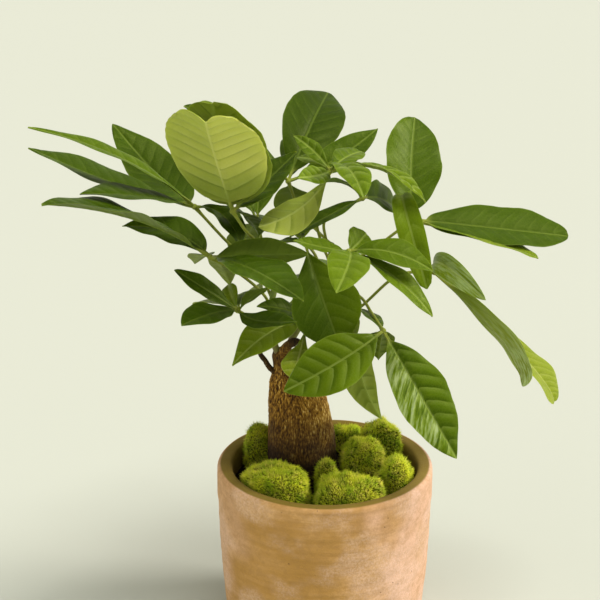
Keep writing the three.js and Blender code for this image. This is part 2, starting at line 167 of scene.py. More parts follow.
# Each palmate leaf: its hub, its petiole's way from there down to the shoot, and a row for each leaflet.
LEAVES = {
  "leaf_a": {
    "hub": [-85, -5, 311],
    "petiole": [[-67, 8, 286], [-47, 12, 264], [-35, 1, 247]],
    "leaflets": [
      ([-182, -37, 368], 19, -13, 18, -6, 1.05),
      ([-144, 52, 355], 39, -15, -18, 5, 0.87, 0.75),
      ([-189, -7, 350], 36, -6, -7, 0, 1.25),
      ([-150, -52, 330], 30, -10, 4, 4, 1.24, 0.87),
      ([-55, -20, 288], 28, 0, 18, 0, 1.2, 0.8),
    ],
  },
  "leaf_b": {
    "hub": [-73, -40, 287],
    "petiole": [[-55, -30, 273], [-42, -14, 256], [-36, 0, 241]],
    "leaflets": [
      ([-167, -83, 331], 54, 4, 16, 6, 1.34, 1.04),
      ([-130, -20, 302], 30, -15, 7, 13, 0.89, 0.87),
      ([-15, -105, 279], 39, -1, 12, 5, 1.21, 0.93),
      ([-12.5, -59, 294.5], 25.5, -59, -1, 3, 1.1, 0.73),
      ([-89, 30, 263], 18, 0, 6, 0, 1.1, 1),
      ([-65, 30, 247], 18, 0, 10, 0, 1.1, 1),
    ],
  },
  "leaf_c": {
    "hub": [-57, -30, 249],
    "petiole": [[-47, -16, 238], [-37, 2, 228]],
    "leaflets": [
      ([-96, -37, 278], 16, -36, 5, -4, 1.25, 0.73),
      ([-89, -72, 253], 25, -15, 6, -1, 1.28, 0.73),
      ([-38, -46, 269], 14, -18, 4, -3, 1.17, 0.89),
      ([-19, -76, 257], 19, 23, 1, 13, 1.31, 0.92),
      ([-65, 4, 256], 12, -30, 6),
      ([-43, 34, 243], 18, -30),
      ([-90, 15, 239], 12, 0, 6),
    ],
  },
  "leaf_d": {
    "hub": [-12, -5, 233],
    "petiole": [[-14, 6, 227], [-16, 17, 224]],
    "leaflets": [
      ([-60, -48, 218], 29, -18, 17, 2, 1.03, 1.02),
      ([-21.5, -59, 214], 20.5, -3, -8, 1, 2.4, 0.7),
      ([-45, -22, 249], 18, -30, 8),
      ([8, -14, 215], 24, 10, 12, 0, 1.1, 1),
    ],
  },
  "leaf_e": {
    "hub": [-58, -50, 319],
    "petiole": [[-50, -52, 307], [-42, -39, 294], [-36, -24, 276], [-34, 2, 253]],
    "leaflets": [
      ([-68.5, -112.5, 384], 61, 0, 19.5, 9.5, 0.76, 0.35, 6.5),
      ([-19, -27, 351], 29, 19, -3, -1, 0.87, 0.84),
      ([-44, 6, 289], 20, 20, 8),
      ([-74, 20, 316], 24, 0, 8),
      ([-65.5, -95, 392], 57.5, -6, 15.5, 6, 0.95, 0.42, 0, 0.2),
    ],
  },
  "leaf_f": {
    "hub": [2, -20, 338],
    "petiole": [[-4, 0, 318], [-6, 18, 295], [-2, 17, 279], [3, 23, 267]],
    "leaflets": [
      ([-21, -10, 358], 12, -40, 6),
      ([-19, 5, 341], 12, -20, 6),
      ([-18, -61, 342], 15, -42, 1, -4, 1.16, 0.73),
      ([24, 20, 342], 19, 15, 5, -1, 1.13, 0.86),
      ([20, -74, 333], 23, -6, 18, 0, 1.27, 0.72),
      ([58, -60, 327], 25, -13, 20, -3, 1.15, 0.92),
      ([-42.5, -45.5, 308], 27.5, 152, 12, 9, 1.6, 0.8),
    ],
  },
  "leaf_g": {
    "hub": [-25, 35, 319],
    "petiole": [[-17, 48, 295], [-2, 40, 280], [5, 26, 277]],
    "leaflets": [
      ([3, 104, 368.5], 44, 26, 20, -2, 1.14, 0.68),
      ([36, 57, 351], 25, 36, 2, 10, 1.12),
      ([-93, 25, 371], 40, -25, 13, 0, 1.48, 0.84),
      ([-17, 75, 267], 34, 0, 8),
      ([-5, 115, 341], 34, 0, 8, 0, 1.2, 0.7),
    ],
  },
  "leaf_h": {
    "hub": [24, 15, 312],
    "petiole": [[13, 22, 304], [0, 28, 294], [0, 27, 283], [4, 25, 273]],
    "leaflets": [
      ([-24, -14, 293], 15, -11, 5, -6, 0.95, 0.84),
      ([56, 62, 284], 31, 48, 9, -9, 0.93, 0.82),
      ([-4, 8, 324], 14),
      ([17, 52, 327], 20, 0, 8),
    ],
  },
  "leaf_i": {
    "hub": [56, 5, 300],
    "petiole": [[44, 8, 289], [26, 14, 274], [2, 22, 262]],
    "leaflets": [
      ([158.3, 1, 289.6], 38.8, 28.5, 0.3, 0, 1.06, 0.48, 0, 0.58),
      ([135.5, -18, 280], 22, 0, 4, 4, 0.75, 0.5, 0, 0.88),
      ([71, 80, 332], 30, 0, 8, 0, 1.1, 0.7),
      ([60, 46, 360.5], 43, 26, 6, -6, 1.06, 0.55),
      ([59.5, -70, 275.5], 17.5, 13, 80, 7, 2.2, 0.42),
    ],
  },
  "leaf_j": {
    "hub": [71, -5, 267],
    "petiole": [[52, 0, 265], [41, 5, 257], [23, 12, 237], [6, 17, 226], [-13, 18, 231]],
    "leaflets": [
      ([95, -71, 269], 16, 59, 35, -13.5, 1.17, 0.6),
      ([131, -17, 191.5], 25, -43, 14, 10, 0.75, 0.69, 0, 0.88),
      ([159, 16, 167], 35, 32, 8, -8, 2.07, 0.63, 0, 0.92),
      ([107, 40, 241], 26, 30, 6, 0, 1.1, 0.8),
    ],
  },
  "leaf_k": {
    "hub": [12, -70, 299],
    "petiole": [[13, -40, 284], [9, -5, 265], [-3, 20, 251]],
    "leaflets": [
      ([23.5, -50, 305], 20.5, 47, 0, 1, 1.25, 0.63),
      ([-21, -66, 305], 16, -15, -1, -1, 1.15, 0.75),
      ([3, -130.5, 292], 26, -13, 12.5, -4.5, 1.15, 0.8),
      ([61, -84, 291], 22, 29, 11, -4, 1.09, 0.82),
      ([61, -91, 265], 20, 12, 13, 2, 1.31, 0.86),
    ],
  },
  "leaf_l": {
    "hub": [35, -50, 242],
    "petiole": [[29, -26, 246], [22.5, -8, 251], [11.5, 6, 251.5], [-6, 20, 243]],
    "leaflets": [
      ([-27, -77, 212], 36, -52, 20, -7, 1.13, 0.82),
      ([81, -75, 166], 39, 33, 12, 6, 0.96, 0.82),
      ([38, -10, 165], 28, -44, 36, -8, 1.04, 0.85),
      ([35, -10, 208], 20, 0, 6),
      ([22, -8, 243], 14, 17, 3, -1, 1.0, 0.8),
    ],
  },
  "leaf_m": {
    "hub": [-14, -15, 290],
    "petiole": [[-7, 0, 277], [-1, 21, 255]],
    "leaflets": [
      ([9, -38, 225.5], 48, 33, 8, 3, 1.39),
      ([-53, 30, 264], 26),
      ([-31, 50, 294], 22, 0, 8),
    ],
  },
  "leaf_n": {
    "hub": [-47, 60, 285],
    "petiole": [[-41, 58, 261], [-32, 32, 249], [-34.5, 1.5, 249]],
    "leaflets": [
      ([-88, 85, 329], 32),
      ([-45, 125, 316], 32),
      ([-21, 125, 260], 30),
      ([-62, 100, 244], 28),
    ],
  },
  "leaf_o": {
    "hub": [-4, 70, 235],
    "petiole": [[-7, 45, 232], [-10, 19, 237]],
    "leaflets": [
      ([-23, 100, 183], 30),
      ([22, 95, 181], 30),
      ([10, 135, 234], 30),
      ([-36, 125, 219], 30),
    ],
  },
}

# How light each leaflet is, in the order of LEAVES: 0 is old and deepest green, 1 is just unfolded. Some
# leaflets that lie in shade are set lighter as painted light. Two numbers stand for its two halves, and the
# gap between them is painted light and shade, for the two halves face the light differently.
LIGHTNESS = {
    "leaf_a": [0.35, 0.17, 0.16, 0.16, 0.2],
    "leaf_b": [0.24, 0.17, 0.2, 0.14, 0.5, 0.5],
    "leaf_c": [0.25, 0.25, 0.2, 0.2, 0.6, 0.5, 0.6],
    "leaf_d": [0.6, 0.75, 0.14, 0.3],
    "leaf_e": [(1.0, 0.82), 0.12, 0.12, 0.3, 0.56],
    "leaf_f": [0.32, 0.42, 0.5, 0.38, 0.46, 0.52, (0.62, 0.76)],
    "leaf_g": [0.07, 0.26, 0.14, 0.3, 0.3],
    "leaf_h": [0.2, 0.25, 0.2, 0.3],
    "leaf_i": [0.22, 0.6, 0.3, (0.32, 0.22), 0.5],
    "leaf_j": [0.55, 0.52, 0.78, 0.3],
    "leaf_k": [0.4, 0.38, 0.46, 0.35, 0.42],
    "leaf_l": [0.44, (0.32, 0.46), 0.52, 0.3, 0.28],
    "leaf_m": [(0.4, 0.2), 0.2, 0.2],
    "leaf_n": [0.25, 0.3, 0.25, 0.3],
    "leaf_o": [0.3, 0.3, 0.35, 0.3],
}

# How strongly the side veins of a leaf stand out, in relief and in the painted highlight and shade beside
# them, and how steeply they run towards its tip.
RIBS = {
    "leaf_d": (0.8, 0.55),
    "leaf_e": (1.0, 0.55),
    "leaf_f": (1.25, 0.55),
    "leaf_j": (0.5, 1.7),
    "leaf_k": (0.6, 0.55),
    "leaf_l": (1.3, 0.5),
}
PLAIN_RIBS = (0.45, 0.55)
NOTCHED_SLANT = 0.2  # share of that slope which the veins of a notched leaflet keep
GREEN_BASE = 0.45  # how much darker a light blade is made beside its stalk

# How much painted silvery sheen some leaflets carry towards their tips, and how strongly painted shade and
# shine lie in the creases between the side veins on each half. The numbers count the leaf's leaflets from
# 0.
SILVER_SHEEN = {("leaf_j", 0): 0.55, ("leaf_j", 1): 1.0}
CREASE_LIGHT = {("leaf_l", 1): (0.0, 1.0)}


# Noise and smooth steps

def smooth_step(low, high, value):
    share = np.clip((value - low) / (high - low), 0, 1)
    return share * share * (3 - 2 * share)


def soft_noise(points, size, seed):
    """Smooth random values from -1 to 1, with features of the given size."""
    place = np.asarray(points, float) / size
    cell = np.floor(place).astype(np.int64)
    share = smooth_step(0, 1, place - cell)
    total = np.zeros(len(place))
    for corner in itertools.product((0, 1), repeat=3):
        x, y, z = (cell + corner).T
        mixed = x * 73856093 ^ y * 19349663 ^ z * 83492791 ^ (seed + 1) * 2654435761
        mixed = (mixed ^ (mixed >> 13)) * 1274126177
        value = ((mixed >> 8) & 0xFFFF) / 32767.5 - 1
        weight = np.where(corner, share, 1 - share).prod(axis=1)
        total += weight * value
    return total


def rough_noise(points, size, layers, seed):
    """Layers of soft noise, each half the size and half the height of the one before."""
    return sum(soft_noise(points, size / 2**layer, seed + layer) / 2**layer for layer in range(layers))


# Meshes

def unit(vector):
    return vector / np.linalg.norm(vector, axis=-1, keepdims=True)


def stacked(*parts):
    """The parts side by side along a new last axis. Single numbers and smaller parts are repeated."""
    return np.stack(np.broadcast_arrays(*parts), -1)


def grid_faces(rows, columns, wrap=False):
    """Quads between the neighbours in a grid of points that is numbered row by row."""
    row = np.arange(rows - 1)[:, None] * columns
    here = np.arange(columns if wrap else columns - 1)[None, :]
    beside = (here + 1) % columns
    above = row + columns
    return stacked(row + here, row + beside, above + beside, above + here).reshape(-1, 4)


def sided(sides):
    """The angles of evenly spread corners round a ring."""
    return np.arange(sides) / sides * 2 * math.pi


def caps(sides, rings):
    """The two many-sided faces that close a stack of rings."""
    ring = np.arange(sides)
    return [ring[::-1][None, :], (ring + (rings - 1) * sides)[None, :]]


def placed(name, data):
    """A new object in the scene."""
    made = bpy.data.objects.new(name, data)
    bpy.context.scene.collection.objects.link(made)
    return made


class Shape:
    """Points, faces and values at the points, which grow part by part into one mesh."""

    def __init__(self):
        self.points = []
        self.faces = []
        self.values = {}
        self.count = 0

    def add(self, points, faces, **values):
        for name in self.values:
            values.setdefault(name, 0.0)
        for name, value in values.items():
            known = self.values.setdefault(name, [np.zeros(self.count)])
            known.append(np.broadcast_to(np.asarray(value, float), len(points)))
        self.points.append(np.asarray(points, float))
        self.faces.extend((np.asarray(group) + self.count).tolist() for group in faces)
        self.count += len(points)

    def piece(self, name, material, node, sharp=None):
        """One Blender object that stands for a node of the frame."""
        mesh = bpy.data.meshes.new(name)
        faces = [face for group in self.faces for face in group]
        mesh.from_pydata((np.concatenate(self.points) * MM).tolist(), [], faces)
        mesh.shade_smooth()
        if sharp:
            mesh.set_sharp_from_angle(angle=math.radians(sharp))
        for key, parts in self.values.items():
            attribute = mesh.attributes.new(key, "FLOAT", "POINT")
            attribute.data.foreach_set("value", np.concatenate(parts).astype(np.float32))
        mesh.materials.append(material)
        made = placed(name, mesh)
        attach(made, "root")
        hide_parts(node)


def smooth_path(points, steps):
    """Points along a Catmull-Rom curve through the given rows of numbers."""
    known = np.asarray(points, float)
    known = np.vstack([2 * known[0] - known[1], known, 2 * known[-1] - known[-2]])
    place = np.linspace(0, len(points) - 1, steps + 1)
    first = np.minimum(place.astype(int), len(points) - 2)
    t = (place - first)[:, None]
    a, b, c, d = (known[first + offset] for offset in range(4))
    return 0.5 * (2 * b + (c - a) * t + (2 * a - 5 * b + 4 * c - d) * t**2 + (3 * b - a - 3 * c + d) * t**3)


def tube(path, radii, sides):
    """Points and faces of a closed tube, and how far along it each point lies, from 0 to 1."""
    path = np.asarray(path, float)
    along = unit(np.gradient(path, axis=0))
    side = np.cross(along[0], [0.31, 0.87, 0.38])
    angle = sided(sides)
    rings = []
    for place, direction, radius in zip(path, along, radii):
        side = side - direction * (side @ direction)
        side /= np.linalg.norm(side)
        up = np.cross(direction, side)
        ring = np.outer(np.cos(angle), side) + np.outer(np.sin(angle), up)
        rings.append(place + radius * ring)
    count = len(path)
    share = np.repeat(np.linspace(0, 1, count), sides)
    return np.concatenate(rings), [grid_faces(count, sides, wrap=True), *caps(sides, count)], share


def lathe(profile, segments, shift):
    """A closed body of revolution with its points moved by shift. The profile's ends are on the axis."""
    ring = np.asarray(profile[1:-1], float)
    angle = sided(segments)
    radius, height = ring[:, :1], ring[:, 1:]
    points = stacked(radius * np.cos(angle), radius * np.sin(angle), height)
    points = shift(points.reshape(-1, 3))
    low, high = len(points), len(points) + 1
    points = np.vstack([points, [0, 0, profile[0][1]], [0, 0, profile[-1][1]]])
    here = np.arange(segments)
    beside = (here + 1) % segments
    last = (len(ring) - 1) * segments
    ends = [stacked(low, beside, here), stacked(high, last + here, last + beside)]
    return points, [grid_faces(len(ring), segments, wrap=True), *ends]


def rounded(profile, passes):
    """Cuts the corners of an open outline again and again, which rounds it off inside itself."""
    line = np.asarray(profile, float)
    for _ in range(passes):
        start, end = line[:-1], line[1:]
        cut = np.stack([start * 0.75 + end * 0.25, start * 0.25 + end * 0.75], 1).reshape(-1, 2)
        line = np.vstack([line[:1], cut[1:-1], line[-1:]])
    return line


def resampled(line, step):
    """The same outline with a point at least every step."""
    parts = [line[:1]]
    for start, end in zip(line[:-1], line[1:]):
        count = max(1, math.ceil(np.linalg.norm(end - start) / step))
        share = np.arange(1, count + 1)[:, None] / count
        parts.append(start + (end - start) * share)
    return np.concatenate(parts)


# Materials

class Nodes:
    """A node material that is written as short calls. Numbers and sockets may be mixed freely."""

    def __init__(self, name, roughness, specular=0.5):
        self.material = bpy.data.materials.new(name)
        self.material.use_nodes = True
        self.tree = self.material.node_tree
        self.shader = self.tree.nodes["Principled BSDF"]
        self.feed(self.shader, {"Roughness": roughness, "Specular IOR Level": specular})

    def feed(self, node, inputs):
        """Sets or links the named or numbered inputs of a node."""
        for key, value in inputs.items():
            socket = node.inputs[key]
            if isinstance(value, bpy.types.NodeSocket):
                self.tree.links.new(value, socket)
            elif socket.type == "RGBA":
                socket.default_value = (*value, 1)
            else:
                socket.default_value = value

    def node(self, kind, inputs, **settings):
        made = self.tree.nodes.new("ShaderNode" + kind)
        for name, value in settings.items():
            setattr(made, name, value)
        self.feed(made, inputs)
        return made

    def place(self, stretch=(1, 1, 1)):
        """The point on the object in millimetres, scaled along each axis."""
        point = self.node("TexCoord", {}).outputs["Object"]
        scale = [factor / MM for factor in stretch]
        return self.node("Mapping", {"Vector": point, "Scale": scale}).outputs["Vector"]

    def value(self, name):
        return self.node("Attribute", {}, attribute_name=name).outputs["Fac"]

    def math(self, operation, *values):
        return self.node("Math", dict(enumerate(values)), operation=operation).outputs["Value"]

    def times(self, *values):
        """All the values multiplied together."""
        return functools.reduce(lambda first, second: self.math("MULTIPLY", first, second), values)

    def varied(self, value, noise, amount):
        """The value moved up and down by noise, which runs from 0 to 1."""
        return self.math("MULTIPLY_ADD", self.math("SUBTRACT", noise, 0.5), amount, value)

    def band(self, value, low, high, start=0.0, end=1.0):
        """From start where value is low to end where it is high, smoothly."""
        inputs = {"Value": value, "From Min": low, "From Max": high, "To Min": start, "To Max": end}
        return self.node("MapRange", inputs, interpolation_type="SMOOTHSTEP").outputs["Result"]

    def mix(self, share, first, second, blend="MIX"):
        inputs = {"Factor": share, 6: first, 7: second}
        return self.node("Mix", inputs, data_type="RGBA", blend_type=blend).outputs[2]

    def ramp(self, value, stops):
        node = self.node("ValToRGB", {"Fac": value})
        points = node.color_ramp.elements
        while len(points) < len(stops):
            points.new(1.0)
        for point, (position, colour) in zip(points, stops):
            point.position = position
            point.color = (*colour, 1)
        return node.outputs["Color"]

    def noise(self, vector, size, detail=2.0, roughness=0.5):
        """Noise from 0 to 1 with features of the given size."""
        inputs = {"Vector": vector, "Scale": 1 / size, "Detail": detail, "Roughness": roughness}
        return self.node("TexNoise", inputs).outputs["Fac"]

    def cells(self, vector, size, feature="F1"):
        """Distance from the nearest cell point or cell edge, in cell sizes."""
        inputs = {"Vector": vector, "Scale": 1 / size}
        return self.node("TexVoronoi", inputs, feature=feature).outputs["Distance"]

    def join(self, x, y, z):
        return self.node("CombineXYZ", {"X": x, "Y": y, "Z": z}).outputs["Vector"]

    def height(self, *parts):
        """Sums (value, millimetres) pairs into a bump."""
        total = 0.0
        for value, depth in parts:
            total = self.math("MULTIPLY_ADD", value, depth * MM, total)
        bump = self.node("Bump", {"Distance": 1.0, "Height": total})
        self.feed(self.shader, {"Normal": bump.outputs["Normal"]})

    def finish(self, colour, roughness=None):
        self.feed(self.shader, {"Base Color": colour})
        if roughness is not None:
            self.feed(self.shader, {"Roughness": roughness})
        return self.material


def leaf_material():
    nodes = Nodes("leaf_blade", 0.4, 0.45)
    nodes.feed(nodes.shader, {
        "IOR": 1.22,
        "Specular Tint": (0.75, 0.9, 0.2),
        "Subsurface Weight": 0.3,
        "Subsurface Radius": (0.9, 1.0, 0.15),
        "Subsurface Scale": 1.2 * MM,
    })
    along, across, under = (nodes.value(name) for name in ("along", "across", "under"))
    blade = nodes.join(along, across, nodes.times(nodes.value("number"), 37.0))
    patches = nodes.noise(blade, 14, 3)
    tone = nodes.varied(nodes.value("youth"), patches, 0.16)
    upper = nodes.ramp(tone, [
        (0.0, (0.020, 0.038, 0.002)),
        (0.25, (0.045, 0.084, 0.003)),
        (0.5, (0.10, 0.158, 0.004)),
        (0.75, (0.18, 0.235, 0.012)),
        (1.0, (0.28, 0.32, 0.04)),
    ])
    lower = nodes.ramp(tone, [
        (0.0, (0.05, 0.085, 0.008)),
        (0.4, (0.14, 0.19, 0.02)),
        (0.7, (0.31, 0.37, 0.06)),
        (1.0, (0.55, 0.585, 0.12)),
    ])
    veins = nodes.ramp(tone, [
        (0.0, (0.08, 0.12, 0.015)),
        (0.5, (0.22, 0.29, 0.05)),
        (1.0, (0.66, 0.69, 0.22)),
    ])
    light, hollow_shade = vein_pattern(nodes, blade, patches, across)
    net = nodes.cells(blade, 1.9, "DISTANCE_TO_EDGE")
    colour = nodes.mix(under, upper, lower)
    # Painted shade in the hollows beside the side veins.
    colour = nodes.mix(nodes.times(hollow_shade, 0.75), colour, (0.52, 0.60, 0.42), "MULTIPLY")
    colour = nodes.mix(nodes.band(net, 0.02, 0.1, 0.1, 0.0), colour, veins)
    # Lighter veins, midrib and margin, and painted highlights on the crests beside the veins.
    colour = nodes.mix(light, colour, veins)
    colour = painted_sheen_colour(nodes, colour, along, across)
    stalks = nodes.mix(nodes.noise(blade, 4, 2), (0.15, 0.19, 0.02), (0.29, 0.32, 0.06))
    colour = nodes.mix(nodes.value("stalk"), colour, stalks)
    gloss = nodes.math("MULTIPLY_ADD", nodes.noise(blade, 9, 2), 0.16, 0.3)
    nodes.height((net, 0.10), (nodes.noise(blade, 0.8, 2), 0.05))
    return nodes.finish(colour, nodes.math("MULTIPLY_ADD", under, 0.2, gloss))


def vein_pattern(nodes, blade, patches, across):
    """How far veins and painted highlights on their crests lighten a blade, and painted shade in the
    hollows darkens it.
    """
    phase, ribbed = nodes.value("vein_phase"), nodes.value("ribbed")
    past_vein = nodes.math("SUBTRACT", phase, nodes.math("ROUND", phase))
    past_vein = nodes.varied(past_vein, nodes.noise(blade, 6, 2), 0.16)
    reach = nodes.math("ABSOLUTE", nodes.value("edge"))
    fading = nodes.times(
        nodes.band(reach, 0.6, 0.97, 1.0, 0.2),
        nodes.band(patches, 0.3, 0.7, 0.45, 1.0),
        ribbed,
    )
    line = nodes.band(nodes.math("ABSOLUTE", past_vein), 0.03, 0.09, 1.0, 0.0)
    # Painted highlight on the crest on the tip side of each vein.
    crest_highlight = nodes.times(
        nodes.band(past_vein, 0.03, 0.08),
        nodes.band(past_vein, 0.08, 0.4, 1.0, 0.0),
    )
    # Painted shade in the hollow on the base side of each vein.
    hollow_shade = nodes.times(
        nodes.band(past_vein, -0.42, -0.08),
        nodes.band(past_vein, -0.08, -0.03, 1.0, 0.0),
    )
    light = nodes.times(nodes.math("MULTIPLY_ADD", crest_highlight, 0.22, nodes.times(line, 0.42)), fading)
    light = nodes.math("MAXIMUM", light, nodes.band(reach, 0.94, 0.995, 0.0, 0.35))
    midrib = nodes.band(nodes.math("ABSOLUTE", across), 0.4, 0.95, 1.0, 0.0)
    midrib = nodes.times(midrib, nodes.math("MULTIPLY_ADD", ribbed, 0.35, 0.4))
    return nodes.math("MAXIMUM", light, midrib), nodes.times(hollow_shade, fading)


def painted_sheen_colour(nodes, colour, along, across):
    """The colour with painted silvery sheen in strands along a blade, and painted shade and shine in
    creases that run with its side veins.
    """
    strands = nodes.noise(nodes.join(nodes.times(along, 0.1), across, 0.0), 1.7, 3, 0.6)
    # Painted silvery sheen in strands along the blade.
    silver = nodes.times(nodes.band(strands, 0.38, 0.62), nodes.value("silver"), 0.75)
    colour = nodes.mix(silver, colour, (0.42, 0.52, 0.26))
    phase, creased = nodes.value("vein_phase"), nodes.value("creased")
    beside_veins = nodes.join(nodes.times(phase, VEIN_SPACING), nodes.times(across, 0.25), 0.0)
    creases = nodes.noise(beside_veins, 3.8, 3, 0.6)
    # Painted shade and painted shine along the creases between the side veins.
    crease_shade = nodes.times(nodes.band(creases, 0.36, 0.5, 0.85, 0.0), creased)
    colour = nodes.mix(crease_shade, colour, (0.35, 0.45, 0.2), "MULTIPLY")
    sheen = nodes.times(nodes.band(creases, 0.44, 0.66, 0.0, 0.55), creased)
    return nodes.mix(sheen, colour, (0.36, 0.43, 0.22))


def terracotta_material():
    nodes = Nodes("terracotta", 0.85, 0.3)
    place = nodes.place()
    streaks = nodes.noise(nodes.place((0.12, 0.12, 1.6)), 5, 4, 0.6)
    clouds = nodes.noise(place, 34, 4, 0.6)
    grain = nodes.noise(place, 1.4, 4, 0.65)
    tone = nodes.math("MULTIPLY_ADD", streaks, 0.35, nodes.times(clouds, 0.65))
    colour = nodes.ramp(tone, [
        (0.36, (0.36, 0.195, 0.05)),
        (0.5, (0.49, 0.275, 0.085)),
        (0.64, (0.64, 0.385, 0.165)),
    ])
    mottle = nodes.band(nodes.noise(nodes.place((1, 1, 1.3)), 6, 5, 0.7), 0.42, 0.62)
    speckle = nodes.band(nodes.noise(place, 1.6, 4, 0.7), 0.35, 0.65, 0.3, 1.0)
    # Pale salt bloom in speckles, heavier towards the pot's sides as painted light.
    bloom = nodes.times(nodes.value("bloom"), speckle)
    pit = nodes.band(nodes.cells(place, 8), 0.04, 0.07, 1.0, 0.0)
    # Olive stain on the lip, and painted shade on the inner wall above the soil.
    lip_stain_and_inner_shade = nodes.mix(nodes.noise(place, 12, 3), (0.15, 0.098, 0.008), (0.21, 0.155, 0.018))
    for share, most, towards in (
        # Painted shade in the band between the pot's lit sides.
        (nodes.value("ochre"), 0.6, (0.40, 0.215, 0.04)),
        # Painted light on the pot's sides.
        (nodes.value("pink"), 0.8, (0.73, 0.465, 0.335)),
        (mottle, 0.35, (0.34, 0.185, 0.055)),
        (bloom, 0.4, (0.84, 0.62, 0.52)),
        (pit, 0.7, (0.12, 0.06, 0.02)),
        (nodes.band(grain, 0.3, 0.7), 0.22, (0.30, 0.16, 0.06)),
        (nodes.value("rim"), 0.96, lip_stain_and_inner_shade),
    ):
        colour = nodes.mix(nodes.times(share, most), colour, towards)
    nodes.height((grain, 0.25), (nodes.math("SUBTRACT", 1.0, pit), 0.5), (streaks, 0.25))
    return nodes.finish(colour, nodes.band(clouds, 0.3, 0.7, 0.8, 0.92))


def soil_material():
    nodes = Nodes("potting_soil", 0.95, 0.05)
    place = nodes.place()
    crumbs = nodes.cells(place, 2.2)
    colour = nodes.ramp(nodes.noise(place, 3, 4, 0.7), [
        (0.35, (0.006, 0.004, 0.002)),
        (0.6, (0.028, 0.017, 0.008)),
        (0.8, (0.075, 0.045, 0.02)),
    ])
    nodes.height((crumbs, 1.2), (nodes.noise(place, 0.7, 2), 0.4))
    return nodes.finish(colour)


def bark_material():
    nodes = Nodes("bark", 0.9, 0.25)
    place = nodes.place()
    fibres = nodes.noise(nodes.place((1, 1, 0.26)), 0.75, 3, 0.6)
    cells = nodes.cells(nodes.place((1, 1, 0.13)), 2.3, "DISTANCE_TO_EDGE")
    relief = nodes.math("MULTIPLY_ADD", nodes.value("relief"), 0.7, 0.15)
    tone = nodes.varied(relief, fibres, 1.9)
    # Painted light: the bark is lighter and more golden on the trunk's right side, where the window light
    # falls.
    tone = nodes.math("MULTIPLY_ADD", nodes.value("bleached"), 0.22, tone)
    tone = nodes.math("SUBTRACT", tone, nodes.band(cells, 0.02, 0.14, 0.14, 0.0))
    ridges = nodes.ramp(tone, [
        (0.08, (0.040, 0.016, 0.002)),
        (0.28, (0.140, 0.063, 0.006)),
        (0.5, (0.27, 0.130, 0.013)),
        (0.72, (0.48, 0.27, 0.04)),
        (0.95, (0.84, 0.62, 0.20)),
    ])
    # Darker bark towards the bottom of the trunk, at its crown and on the twig and stub.
    darker_bark = nodes.mix(nodes.band(fibres, 0.4, 0.7), (0.014, 0.006, 0.004), (0.050, 0.026, 0.008))
    colour = nodes.mix(nodes.value("damp"), ridges, darker_bark)
    colour = nodes.mix(nodes.value("charred"), colour, (0.010, 0.006, 0.004))
    nodes.height((fibres, 0.6), (nodes.noise(place, 0.6, 2), 0.15))
    return nodes.finish(colour)


def shoot_material():
    nodes = Nodes("green_shoot", 0.5, 0.4)
    place = nodes.place()
    grooves = nodes.noise(nodes.place((1, 1, 0.15)), 0.8, 3)
    green = nodes.mix(grooves, (0.11, 0.18, 0.025), (0.26, 0.33, 0.055))
    woody = nodes.mix(nodes.noise(place, 2.5, 3), (0.10, 0.055, 0.02), (0.22, 0.15, 0.05))
    colour = nodes.mix(nodes.value("woody"), green, woody)
    nodes.height((grooves, 0.25))
    return nodes.finish(colour)


def moss_material():
    nodes = Nodes("moss", 0.85, 0.2)
    place = nodes.place()
    patches = nodes.band(nodes.noise(place, 9, 2), 0.3, 0.7)
    bright = nodes.mix(patches, (0.33, 0.49, 0.012), (0.73, 0.78, 0.03))
    bright = nodes.mix(nodes.value("hue"), bright, (0.86, 0.77, 0.12))
    # Painted shade: near black-green at the blade roots and on the mound beneath them, rising to full
    # colour at the tips.
    colour = nodes.mix(nodes.band(nodes.value("tip"), 0.05, 0.8), (0.022, 0.032, 0.002), bright)
    nodes.height((nodes.noise(place, 0.8, 2), 0.2))
    return nodes.finish(colour)


def floor_material():
    return Nodes("pale_floor", 0.9, 0.2).finish((0.48, 0.505, 0.45))


# Pot and soil

